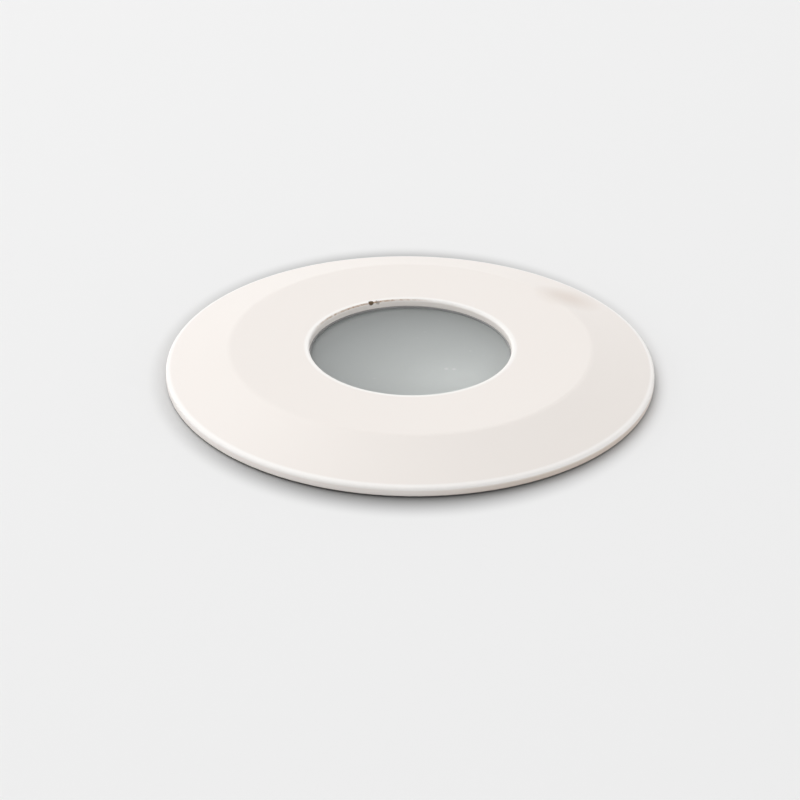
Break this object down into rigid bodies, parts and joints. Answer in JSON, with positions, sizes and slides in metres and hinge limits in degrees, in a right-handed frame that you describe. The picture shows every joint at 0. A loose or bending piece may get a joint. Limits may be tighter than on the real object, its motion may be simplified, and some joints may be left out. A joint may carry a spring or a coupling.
{
  "type": "recessed light",
  "caption": "Round weatherproof recessed light: bevelled white trim with frosted glass, finned can with spring clips, twist-lock reflector lamp and a cable gland at the rear.",
  "frame": {"origin": "on the axis of the round trim, on the surface that the light is let into, at the mouth of the cut-out", "axes": "+Z out of the glass, along the trim's axis; +X towards the right spring clip; +Y towards the terminal block; the can and the cable gland lie below, at negative Z"},
  "size_m": [0.1128, 0.09, 0.1143],
  "materials": {
    "trim_white": "satin",
    "frosted_glass": "matte",
    "seal_rubber": "matte",
    "grey_silicone": "matte",
    "foam_rubber": "matte",
    "ring_aluminium": "satin",
    "cast_aluminium": "matte",
    "rivet_aluminium": "satin",
    "lamp_white": "satin",
    "lens_clear": "gloss",
    "lamp_base_white": "matte",
    "nickel_plate": "satin",
    "holder_ceramic": "satin",
    "contact_brass": "satin",
    "screw_steel": "satin",
    "spring_steel": "satin",
    "bracket_steel": "satin",
    "tip_plastic": "matte",
    "collar_plastic": "satin",
    "block_plastic": "matte",
    "gland_plastic": "satin",
    "lead_brown": "satin",
    "lead_blue": "satin",
    "lead_green": "satin"
  },
  "bodies": {
    "can": {"housing": "cast_aluminium", "mounting_flange": "ring_aluminium", "mounting_flange_screws": "screw_steel", "locating_collar": "collar_plastic", "flange_gasket": "foam_rubber", "lamp_holder": "holder_ceramic", "lamp_holder_contacts": "contact_brass", "lamp_holder_screws": "screw_steel", "live_lead": "lead_brown", "neutral_lead": "lead_blue", "terminal_block": "block_plastic", "terminal_clamps": "contact_brass", "terminal_screws": "screw_steel", "terminal_fixing_screws": "screw_steel", "earth_lead": "lead_green", "earth_lug": "nickel_plate", "earth_screw": "screw_steel", "rear_gasket": "seal_rubber", "rear_cover": "cast_aluminium", "rear_cover_screws": "screw_steel", "gland_body": "gland_plastic", "gland_washer": "seal_rubber", "gland_locknut": "gland_plastic", "gland_seal": "seal_rubber", "gland_nut": "gland_plastic", "clip_bracket_right": "bracket_steel", "clip_rivets_right": "rivet_aluminium", "clip_pin_right": "screw_steel", "clip_spring_right": "spring_steel", "clip_bracket_left": "bracket_steel", "clip_rivets_left": "rivet_aluminium", "clip_pin_left": "screw_steel", "clip_spring_left": "spring_steel"},
    "trim": {"trim_ring": "trim_white", "front_glass": "frosted_glass", "glass_gasket": "grey_silicone", "glass_retaining_ring": "ring_aluminium", "trim_o_ring": "seal_rubber"},
    "lamp": {"lamp_body": "lamp_white", "lamp_lens": "lens_clear", "lamp_base": "lamp_base_white", "lamp_pins": "nickel_plate"},
    "right_clip": {"clip_arm_right": "bracket_steel", "clip_tip_right": "tip_plastic"},
    "left_clip": {"clip_arm_left": "bracket_steel", "clip_tip_left": "tip_plastic"}
  },
  "joints": [
    {"name": "trim_pull", "type": "slide", "parent": "can", "child": "trim", "axis": [0, 0, 1], "range_m": [0, 0.04]},
    {"name": "lamp_twist", "type": "hinge", "parent": "can", "child": "lamp", "pos_m": [0, 0, -0.0525], "axis": [0, 0, 1], "range_deg": [0, 20]},
    {"name": "clip_right_fold", "type": "hinge", "parent": "can", "child": "right_clip", "pos_m": [0.02961, 0, -0.03456], "axis": [0, 1, 0], "range_deg": [0, 140], "stiffness_Nm_per_rad": 0.06, "springref_deg": -28.65, "deforming": ["clip_spring_right"]},
    {"name": "clip_left_fold", "type": "hinge", "parent": "can", "child": "left_clip", "pos_m": [-0.02961, 0, -0.03456], "axis": [0, -1, 0], "range_deg": [0, 140], "stiffness_Nm_per_rad": 0.06, "springref_deg": -28.65, "deforming": ["clip_spring_left"]}
  ]
}
